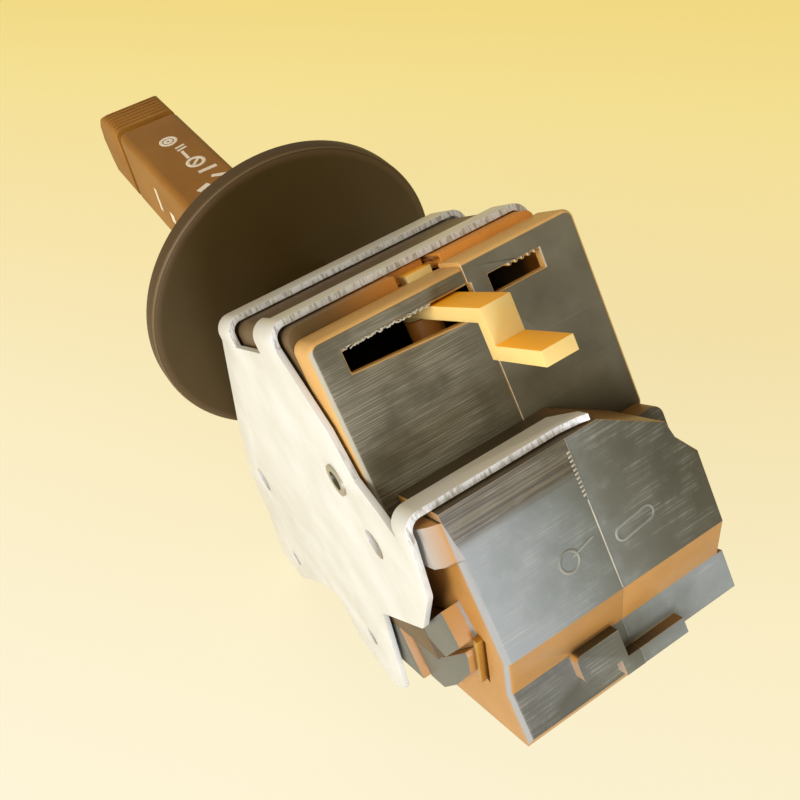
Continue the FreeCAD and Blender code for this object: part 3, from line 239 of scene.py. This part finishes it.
def cover_plastic():
    """Black plastic of the covers: grey outer faces, darker towards the bottom as painted shade, a painted
    warm reflection of the table on the side faces, a painted highlight on the left edges, and scratches on
    the left half.
    """
    material, shader = new_material("moulded_cover_plastic")
    across, up, _ = face_axes(material)
    patches = noise(material, place_of(material), 8.0)
    left = smooth_step(material, across, 4.0, -4.0)
    low = smooth_step(material, up, -22.0, -31.0)
    clouds = ramp(material, patches, [(0.3, 0.0), (0.7, 1.0)])
    tone = mix(material, clouds, linear("#4d4838"), linear("#605c4c"))
    # painted shade: the face darker towards the bottom
    tone = mix(material, times(material, low, 0.75), tone, linear("#3a3322"))
    rubbed = times(material, left, ramp(material, patches, [(0.36, 0.15), (0.56, 0.75)]))
    scratches = times(material, brushed(material, -0.10, 0.20, 0.46), rubbed)
    faint = times(material, brushed(material, 0.35, 0.5, 0.58), 0.12)
    marks = maths(material, "MAXIMUM", scratches, faint)
    tone = mix(material, marks, tone, linear("#8d897b"))
    # painted warm reflection of the table on faces that turn from the outer face
    painted_warm_reflection = mix(material, patches, linear("#bf9456"), linear("#d3a866"))
    tone = mix(material, facing(material, OUT), painted_warm_reflection, tone)
    # painted highlight on the rounded left edges
    rim = facing(material, (OUT - Vector((1, 0, 0))).normalized())
    tone = mix(material, rim, tone, linear("#9c9a90"))
    finish_plastic(material, shader, tone, marks, 0.42, 0.25)
    return material


def connector_plastic():
    """Black plastic of the connector: a painted grey sheen on its outer faces, a painted warm reflection and
    painted shade on its upright faces, and grey lugs.
    """
    material, shader = new_material("moulded_connector_plastic")
    across, up, _ = face_axes(material)
    patches = noise(material, place_of(material), 7.0, 4.0, 0.6)

    # painted sheen: palest on the left of the rear face, and on the right of the lower block
    left = smooth_step(material, across, 24.0, -20.0)
    lower_block = smooth_step(material, up, -54.0, -58.0)
    right = maths(material, "SUBTRACT", 1.0, left)
    reach = add(material, "ShaderNodeMix", {"data_type": "FLOAT"}, i0=lower_block, i2=left, i3=right)
    sway = maths(material, "MULTIPLY_ADD", patches, 0.5, -0.25)
    level = maths(material, "ADD", reach.outputs[0], sway)
    painted_sheen_and_scuffs = ramp(material, level, [(0.0, "#434238"), (0.4, "#5a5b52"), (0.75, "#737a7b"), (1.0, "#858c92")])

    # a brown striped groove under the strap, and short scuffs
    strap_end = smooth_step(material, across, 1.6, 0.4)
    groove = times(material, smooth_step(material, up, -31.5, -29.0), strap_end)
    stripes = mix(material, brushed(material, 0.0, 0.5, 0.46), linear("#3f3524"), linear("#6d6350"))
    painted_sheen_and_scuffs = mix(material, times(material, groove, 0.8), painted_sheen_and_scuffs, stripes)
    worn = ramp(material, patches, [(0.46, 0.0), (0.64, 0.32)])
    marks = times(material, brushed(material, 0.3, 0.25, 0.5), worn)
    painted_sheen_and_scuffs = mix(material, marks, painted_sheen_and_scuffs, linear("#b1b3ae"))

    # painted warm reflection of the table on the upright faces, and painted shade, darker on the left, on
    # faces that look up
    painted_wall_light_and_shade = mix(material, patches, linear("#9a6d33"), linear("#b48445"))
    shaded = mix(material, smooth_step(material, across, 2.0, 12.0), linear("#3f331d"), linear("#7c5828"))
    painted_wall_light_and_shade = mix(material, facing(material, UP, 0.6, 0.95), painted_wall_light_and_shade, shaded)
    tone = mix(material, facing(material, OUT), painted_wall_light_and_shade, painted_sheen_and_scuffs)

    # the lugs and the tab stand proud of the left wall; their grey is lighter on the tab as a painted
    # highlight, and faces that turn from the left take a painted warm reflection
    proud = smooth_step(material, across, REAR_LEFT - 0.2, REAR_LEFT - 0.7)
    grey = mix(material, smooth_step(material, up, -36.0, -33.0), linear("#565855"), linear("#9a9897"))
    lugs = mix(material, facing(material, (-1, 0, 0), 0.3, 0.9), linear("#a87a42"), grey)
    tone = mix(material, proud, tone, lugs)
    # painted highlight along the rounded left edge of the rear face
    corner = facing(material, (OUT * 0.8 - Vector((1, 0, 0))).normalized(), 0.80, 0.93)
    rim = times(material, corner, smooth_step(material, across, REAR_LEFT - 0.3, REAR_LEFT + 0.1))
    tone = mix(material, rim, tone, linear("#8e9197"))
    finish_plastic(material, shader, tone, marks, 0.36, 0.3)
    return material


def base_plastic():
    """Black plastic of the base: painted warm light in orange on its rim towards the right, dark elsewhere.
    """
    material, shader = new_material("moulded_base_plastic")
    patches = noise(material, place_of(material), 7.0)
    dark = mix(material, patches, linear("#4b3a20"), linear("#67502d"))
    # painted warm light of the table, where the rim faces up towards the right
    glow = mix(material, patches, linear("#b8762a"), linear("#d8923a"))
    across, _, out = face_axes(material)
    lit = times(material, smooth_step(material, out, 65.0, 69.0), smooth_step(material, across, -22.0, 0.0))
    tone = mix(material, lit, dark, glow)
    marks = times(material, brushed(material, 0.0, 0.35, 0.5), 0.15)
    finish_plastic(material, shader, tone, marks, 0.45, 0.25)
    return material


def shroud_plastic():
    """Satin black plastic of the shroud, with a painted highlight and a thin painted shade line along its
    rim.
    """
    material, shader = new_material("shroud_plastic")
    at = place_of(material, (1 / MM, 1 / MM, 1 / MM))
    flat = add(material, "ShaderNodeVectorMath", {"operation": "MULTIPLY"}, i0=at, i1=(1, 0, 1))
    length = add(material, "ShaderNodeVectorMath", {"operation": "LENGTH"}, i0=flat.outputs["Vector"])
    radius = length.outputs["Value"]
    share = add(material, "ShaderNodeMapRange", Value=radius, From_Min=30.0, From_Max=37.0).outputs["Result"]
    patches = noise(material, place_of(material), 25.0, 2.0)
    middle = mix(material, patches, linear("#3b2b0b"), linear("#463612"))
    # painted highlight on the lip of the rim, with a thin line of painted shade
    painted_lip_light_and_shade = ramp(material, share, [(0.0, "#43330f"), (0.70, "#43330f"), (0.76, "#4e3b20"), (0.90, "#55432a"),
                                  (0.93, "#3a2a14"), (0.96, "#6d5a3c"), (1.0, "#4a3822")])
    tone = mix(material, smooth_step(material, share, 0.6, 0.75), middle, painted_lip_light_and_shade)
    finish_plastic(material, shader, tone, times(material, patches, 0.1), 0.5, 0.5, relief=0.16)
    shader.inputs["Specular IOR Level"].default_value = 0.35
    return material


def plated_sheet():
    """Zinc plated sheet: pale satin metal with faint rolling lines, its sheared edges speckled darker, and a
    painted warm reflection on faces that look up.
    """
    material, shader = new_material("zinc_plated_sheet")
    cloud = noise(material, place_of(material), 14.0, 4.0)
    lines = noise(material, place_of(material, (1, 0.05, 1)), 0.22)
    blotches = ramp(material, cloud, [(0.35, 0.0), (0.7, 1.0)])
    tone = mix(material, blotches, linear("#d6d9de"), linear("#c9cbcb"))
    sheared = ramp(material, noise(material, place_of(material, (1, 0.2, 0.2)), 0.6, 4.0, 0.7),
                   [(0.46, 0.0), (0.62, 0.7)])
    speckles = times(material, facing(material, OUT, 0.9, 0.98), sheared)
    tone = mix(material, speckles, tone, linear("#7d705b"))
    # painted warm reflection of the table on faces that look up
    painted_table_reflection = times(material, facing(material, UP, 0.8, 0.98), ramp(material, cloud, [(0.3, 0.1), (0.7, 0.35)]))
    tone = mix(material, painted_table_reflection, tone, linear("#e0cfa0"))
    finish_lined(material, shader, tone, lines, 0.44, 0.12, 0.12, 0.03)
    shader.inputs["Metallic"].default_value = 0.2
    return material


def plain_metal(name, base, shade, roughness):
    """Turned, stamped or drawn metal with fine tool lines."""
    material, shader = new_material(name)
    lines = noise(material, place_of(material, (1, 1, 0.1)), 0.3)
    tone = mix(material, lines, linear(base), linear(shade))
    finish_lined(material, shader, tone, lines, roughness, 0.15, 0.1, 0.02)
    shader.inputs["Metallic"].default_value = 1.0
    return material


def acetal(name, base, shade):
    """Natural acetal: waxy and a little translucent, pale, with painted shade in a warmer tone on its upper
    side.
    """
    material, shader = new_material(name)
    cloud = noise(material, place_of(material), 6.0)
    fine = noise(material, place_of(material), 0.3, 2.0)
    lit = mix(material, facing(material, UP, 0.5, 0.9), linear(base), linear(shade))
    tone = mix(material, times(material, cloud, 0.35), lit, linear(shade))
    finish_lined(material, shader, tone, fine, 0.4, 0.1, 0.08, 0.03)
    shader.inputs["Subsurface Weight"].default_value = 0.25
    shader.inputs["Subsurface Radius"].default_value = (1.0, 0.6, 0.3)
    shader.inputs["Subsurface Scale"].default_value = 1.2 * MM
    shader.inputs["IOR"].default_value = 1.48
    return material


COVER = cover_plastic()
REAR = connector_plastic()
BASE = base_plastic()
DISC = shroud_plastic()
SHEET = plated_sheet()
# black plastic of the grip, brown in the table's light
GRIP = moulded("grip_plastic", "#875814", "#9b691d", 0.5, grain_mm=0.4, cloud_mm=20.0)
# tin plated steel of the eyelets
EYELET = plain_metal("plated_eyelet", "#c9c4b4", "#a9a392", 0.3)
# bare brass of the terminals
BRASS = plain_metal("stamped_brass", "#e2b860", "#b98c3c", 0.28)
# phosphor bronze of the contact springs
BRONZE = plain_metal("sprung_bronze", "#c08a58", "#9a6a40", 0.35)
# turned steel of the pins, drawn steel of the coils
STEEL = plain_metal("turned_steel", "#b9b8b2", "#8f8e8a", 0.3)
# yellowed acetal of the cancel lever, its upper side a deep orange painted shade
LEVER = acetal("lever_acetal", "#d6c68a", "#fbb024")
# natural acetal of the pieces that turn and slide inside
NATURAL = acetal("carrier_acetal", "#e6dfca", "#dfd5ba")
# phenolic paper laminate of the contact board
LAMINATE = moulded("board_laminate", "#8a6238", "#9b7145", 0.5)
# white ink of the signs on the grip
PRINT = moulded("symbol_print", "#e9e2d6", "#d9d0c2", 0.6)
# the connector's plastic where the mould left a raised line
MARK = moulded("mould_mark", "#62635d", "#8a8c87", 0.4, grain_mm=0.3)
# the same plastic where it was torn or squeezed out, pale and rough
FLASH = moulded("torn_plastic", "#8f8b7e", "#b5b1a3", 0.4, grain_mm=0.3)

# pieces

def only(obj):
    """Selects one object alone and makes it the active one."""
    bpy.ops.object.select_all(action="DESELECT")
    obj.select_set(True)
    bpy.context.view_layer.objects.active = obj


def paint(obj, material):
    """Leaves an object with one material."""
    obj.data.materials.clear()
    obj.data.materials.append(material)


def in_face_frame(point):
    """A point of a mesh as across, up and out in the face frame, in millimetres."""
    return point.x / MM, point.dot(UP) / MM, point.dot(OUT) / MM


def round_long_edges(piece, wanted, radius_mm):
    """Rounds the edges whose two ends are wanted, given each end as across, up and out."""
    only(piece)
    bpy.ops.object.mode_set(mode="EDIT")
    bpy.ops.mesh.select_all(action="DESELECT")
    bpy.ops.object.mode_set(mode="OBJECT")
    mesh = piece.data
    for edge in mesh.edges:
        edge.select = all(wanted(*in_face_frame(mesh.vertices[v].co)) for v in edge.vertices)
    bpy.ops.object.mode_set(mode="EDIT")
    bpy.ops.mesh.select_mode(type="EDGE")
    bpy.ops.mesh.bevel(offset=radius_mm * MM, segments=5, profile=0.5, clamp_overlap=False)
    bpy.ops.object.mode_set(mode="OBJECT")


def dressed(node, material, edge_mm, long_edges=None):
    """A copy of a CAD node in the node's place, its edges rounded as moulding or rolling leaves them."""
    source = frame["nodes"][node]
    piece = source.copy()
    piece.data = source.data.copy()
    piece.name = node + "_skin"
    bpy.context.collection.objects.link(piece)
    for key in list(piece.keys()):
        del piece[key]
    piece.parent = None
    piece.hide_render = piece.hide_viewport = False
    only(piece)
    bpy.ops.object.mode_set(mode="EDIT")
    bpy.ops.mesh.select_all(action="SELECT")
    bpy.ops.mesh.remove_doubles(threshold=0.002 * MM)
    bpy.ops.mesh.dissolve_limited(angle_limit=math.radians(1.0))
    bpy.ops.object.mode_set(mode="OBJECT")
    if long_edges:
        round_long_edges(piece, *long_edges)
    bevel = piece.modifiers.new("edges", "BEVEL")
    bevel.width = edge_mm * MM
    bevel.segments = 3
    bevel.limit_method = "ANGLE"
    bevel.angle_limit = math.radians(20)
    bpy.ops.object.modifier_apply(modifier=bevel.name)
    bpy.ops.object.shade_smooth_by_angle(angle=math.radians(24))
    paint(piece, material)
    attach(piece, BODY_OF[node])
    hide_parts(node)


record = frame["record"]
BODY_OF = {node: body for body, nodes in record["behaviour"]["bodies"].items() for node in nodes}

# each dressed node with its material and the radius of its edges in millimetres
SKINS = {
    "left_cover": (COVER, 0.5), "right_cover": (COVER, 0.5),
    "connector_housing_left": (REAR, 0.6), "connector_housing_right": (REAR, 0.6),
    "base_housing": (BASE, 0.35), "mounting_bracket": (SHEET, 0.28), "shroud_disc": (DISC, 0.4),
    "stalk_shell": (GRIP, 0.3), "end_button": (GRIP, 0.35), "cancel_lever": (LEVER, 0.35),
    "side_terminal": (BRASS, 0.12), "stalk_shank": (BASE, 0.5),
}
# the material of each node that is shown as it is
FINISHES = {
    "bracket_rivets": EYELET, "terminal_blades": BRASS, "turn_carrier": NATURAL, "turn_pivot_pins": STEEL,
    "detent_plate": NATURAL, "detent_plunger": STEEL, "detent_spring": STEEL, "contact_slider": NATURAL,
    "slider_contacts": BRONZE, "contact_board": LAMINATE, "fixed_contacts": BRASS, "dip_pin": STEEL,
    "dip_return_spring": BRONZE, "stalk_pin": STEEL, "button_spring": STEEL, "horn_contacts": BRONZE,
    "cancel_pivot_pin": STEEL, "cancel_spring": BRONZE,
}


def rear_left_edge(across, up, out):
    """The left outline of the rear face, from the tab down to the lower block."""
    tab_foot, least_out = -32, 94
    return abs(across - REAR_LEFT) < 0.05 and up < tab_foot and out > least_out


# edges rounded more than the rest of their piece, with the radius in millimetres
LONG_EDGES = {"connector_housing_left": (rear_left_edge, 1.1)}
for node, (material, edge) in SKINS.items():
    dressed(node, material, edge, LONG_EDGES.get(node))
for node, material in FINISHES.items():
    paint(frame["nodes"][node], material)


def new_piece(name, body, material, parts):
    """Fresh parts as one piece of its own, with its place in its mesh, riding on a body."""
    bpy.ops.object.select_all(action="DESELECT")
    for part in parts:
        part.select_set(True)
    piece = bpy.context.view_layer.objects.active = parts[0]
    bpy.ops.object.join()
    piece.name = name
    bpy.ops.object.transform_apply(location=True, rotation=True, scale=True)
    bpy.ops.object.shade_smooth_by_angle(angle=math.radians(40))
    paint(piece, material)
    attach(piece, body)


def on_face(x, up, out, turn=0.0):
    """A place on the leaning face, turned about the direction that it faces."""
    return Matrix.Translation(face(x, up, out)) @ FACE_FRAME @ Matrix.Rotation(turn, 4, "Z")


def bar(place, size_mm, round_mm=0.0):
    """A bar centred on a place, its edges rounded where round_mm is given."""
    bpy.ops.object.select_all(action="DESELECT")
    bpy.ops.mesh.primitive_cube_add(size=1)
    piece = bpy.context.object
    piece.matrix_world = place @ Matrix.Diagonal((*[v * MM for v in size_mm], 1))
    bpy.ops.object.transform_apply(location=False, rotation=False, scale=True)
    if round_mm:
        bpy.ops.object.mode_set(mode="EDIT")
        bpy.ops.mesh.select_all(action="SELECT")
        bpy.ops.mesh.bevel(offset=round_mm * MM, segments=3, profile=0.5)
        bpy.ops.object.mode_set(mode="OBJECT")
    return piece


def ring(place, radius_mm, wire_mm, stretch_mm=0.0, flat=0.6):
    """A low ring, drawn out to a capsule outline where stretch is given."""
    bpy.ops.object.select_all(action="DESELECT")
    bpy.ops.mesh.primitive_torus_add(major_radius=radius_mm * MM, minor_radius=wire_mm * MM,
                                     major_segments=48, minor_segments=10)
    piece = bpy.context.object
    for vertex in piece.data.vertices:
        vertex.co.x += math.copysign(stretch_mm / 2 * MM, vertex.co.x)
        vertex.co.z *= flat
    piece.matrix_world = place
    return piece


def moulding_marks():
    """Marks of the mould on the rear face: a ring with a gate's tail, and the outline of a capsule."""
    new_piece("moulding_marks", "housing", MARK, [
        ring(on_face(-6.0, -42.2, REAR_FACE), 1.8, 0.3),
        bar(on_face(-2.9, -41.2, REAR_FACE, 0.25), (4.6, 0.45, 0.3), 0.12),
        ring(on_face(7.0, -42.7, REAR_FACE, 0.12), 1.2, 0.26, 5.4)])


def parting_flash():
    """The raised flash along the joint of the connector's halves, knurled at its upper end."""
    top, pitch, count = -26.4, 0.75, 11
    teeth = [bar(on_face(REAR_SEAM - 0.25, top - pitch * k, REAR_FACE, 0.3), (0.7, 0.36, 0.34), 0.1)
             for k in range(count)]
    ridge = bar(on_face(REAR_SEAM - 0.1, -43.0, REAR_FACE), (0.22, 16.4, 0.3), 0.08)
    new_piece("parting_flash", "housing", FLASH, teeth + [ridge])


def slot_scar():
    """The torn upper edge of the lever's slot: a thin rough bead of pale plastic."""
    chance = random.Random(7)
    left, right, edge_up = -20.4, -4.5, 0.55
    crumbs, x = [], left
    while x < right:
        length = chance.uniform(0.25, 0.9)
        place = on_face(x, edge_up + chance.uniform(-0.22, 0.18), COVER_FACE, chance.uniform(-0.5, 0.5))
        crumbs.append(bar(place, (length, chance.uniform(0.12, 0.34), 0.24), 0.06))
        x += length * 0.6
    new_piece("slot_scar", "housing", FLASH, crumbs)


def grip_symbols():
    """Plain printed signs on the grip.

    On top a double ring, two short bars, a stem, a slashed ring and three bars; on the left side two bars.
    """
    ink = 0.08

    def top(x, y, turn=0.0):
        return Matrix.Translation(Vector((x, y, GRIP_TOP)) * MM) @ Matrix.Rotation(turn, 4, "Z")

    def side(y, z):
        return Matrix.Translation(Vector((GRIP_LEFT, y, z)) * MM) @ Matrix.Rotation(math.radians(90), 4, "Y")

    new_piece("grip_symbols", "stalk", PRINT, [
        ring(top(0.6, 78.6), 2.2, 0.5, flat=0.2), ring(top(0.6, 78.6), 0.9, 0.5, flat=0.2),
        bar(top(2.0, 73.4, 0.2), (3.0, 0.8, ink)), bar(top(2.0, 71.8, 0.2), (3.0, 0.8, ink)),
        bar(top(1.4, 68.0), (0.9, 5.0, ink)),
        ring(top(2.2, 62.4), 2.3, 0.55, flat=0.2), bar(top(2.2, 62.4, 0.8), (4.0, 0.9, ink)),
        bar(top(3.2, 56.6), (5.4, 1.4, ink)), bar(top(-1.6, 48.6, 0.4), (4.0, 1.6, ink)),
        bar(top(4.4, 51.4, -0.5), (4.4, 1.3, ink)),
        bar(side(70.8, -4.2), (7.4, 1.8, ink)), bar(side(61.0, -5.6), (3.2, 3.0, ink))])


moulding_marks()
parting_flash()
slot_scar()
grip_symbols()

# floor, light and camera

FLOOR_Z = cad_box[0][2]
# the table's tone deepens along this direction, between two places along it in metres
FAR_RIGHT = (0.80, 0.60, 0.0)
TONE_NEAR = -0.11
TONE_FAR = 0.33


def floor():
    """A pale yellow table top, deeper in tone towards the far right, that the camera sees evenly bright."""
    bpy.ops.object.select_all(action="DESELECT")
    bpy.ops.mesh.primitive_plane_add(size=6, location=(0, 0, FLOOR_Z))
    ground = bpy.context.object
    ground.name = "table_top"
    material, shader = new_material("pale_table")
    at = add(material, "ShaderNodeTexCoord").outputs["Object"]
    far = add(material, "ShaderNodeVectorMath", {"operation": "DOT_PRODUCT"}, i0=at, i1=FAR_RIGHT)
    along = far.outputs["Value"]
    depth = add(material, "ShaderNodeMapRange", Value=along, From_Min=TONE_NEAR, From_Max=TONE_FAR)
    tone = ramp(material, depth.outputs["Result"], [(0.0, "#fdf5da"), (0.22, "#fcf0c8"), (0.45, "#f9e7ae"),
                                                    (0.75, "#f8e496"), (1.0, "#f5dc84")])
    join(material, tone, shader.inputs["Base Color"])
    shader.inputs["Roughness"].default_value = 0.9
    shader.inputs["Specular IOR Level"].default_value = 0.1
    glow = add(material, "ShaderNodeEmission", Color=tone, Strength=1.0).outputs["Emission"]
    rays = add(material, "ShaderNodeLightPath").outputs
    seen = rays["Is Camera Ray"]
    for kind in ("Is Glossy Ray", "Is Transmission Ray"):
        seen = maths(material, "MAXIMUM", seen, rays[kind])
    share = times(material, seen, 0.88)
    blend = add(material, "ShaderNodeMixShader", Fac=share, i1=shader.outputs["BSDF"], i2=glow)
    out = next(n for n in material.node_tree.nodes if n.type == "OUTPUT_MATERIAL")
    join(material, blend.outputs["Shader"], out.inputs["Surface"])
    paint(ground, material)


def lamp(name, at, aim, size, power, colour):
    """A round soft lamp, its places and size in metres."""
    bpy.ops.object.light_add(type="AREA", location=at)
    light = bpy.context.object
    light.name = name
    light.data.shape = "DISK"
    light.data.size = size
    light.data.energy = power
    light.data.color = linear(colour)[:3]
    light.rotation_euler = (Vector(aim) - Vector(at)).to_track_quat("-Z", "Y").to_euler()


def light_scene():
    """A dim warm room, a wide lamp on the left and a small low one in front."""
    world = bpy.data.worlds.new("soft_studio")
    bpy.context.scene.world = world
    world.use_nodes = True
    background = world.node_tree.nodes["Background"]
    background.inputs["Color"].default_value = linear("#ffeecb")
    background.inputs["Strength"].default_value = 0.5
    lamp("side_softbox", at=(-0.75, -0.30, 0.38), aim=(0, -0.05, 0), size=0.6, power=7.5, colour="#fffaf0")
    lamp("front_softbox", at=(-0.12, -0.72, 0.02), aim=(-0.02, -0.1, -0.01), size=0.3, power=2.6,
         colour="#e8f0ff")


def set_camera():
    """The camera of the photograph."""
    bpy.ops.object.camera_add()
    camera = bpy.context.object
    camera.data.lens = LENS
    camera.data.sensor_width = 36
    camera.data.clip_start = 0.01
    camera.data.clip_end = 20
    turn = Matrix((CAMERA_RIGHT, CAMERA_UP, CAMERA_BACK)).transposed()
    camera.matrix_world = Matrix.Translation(CAMERA_AT) @ turn.to_4x4()
    bpy.context.scene.camera = camera


floor()
light_scene()
set_camera()
bpy.context.scene.view_settings.view_transform = "Standard"
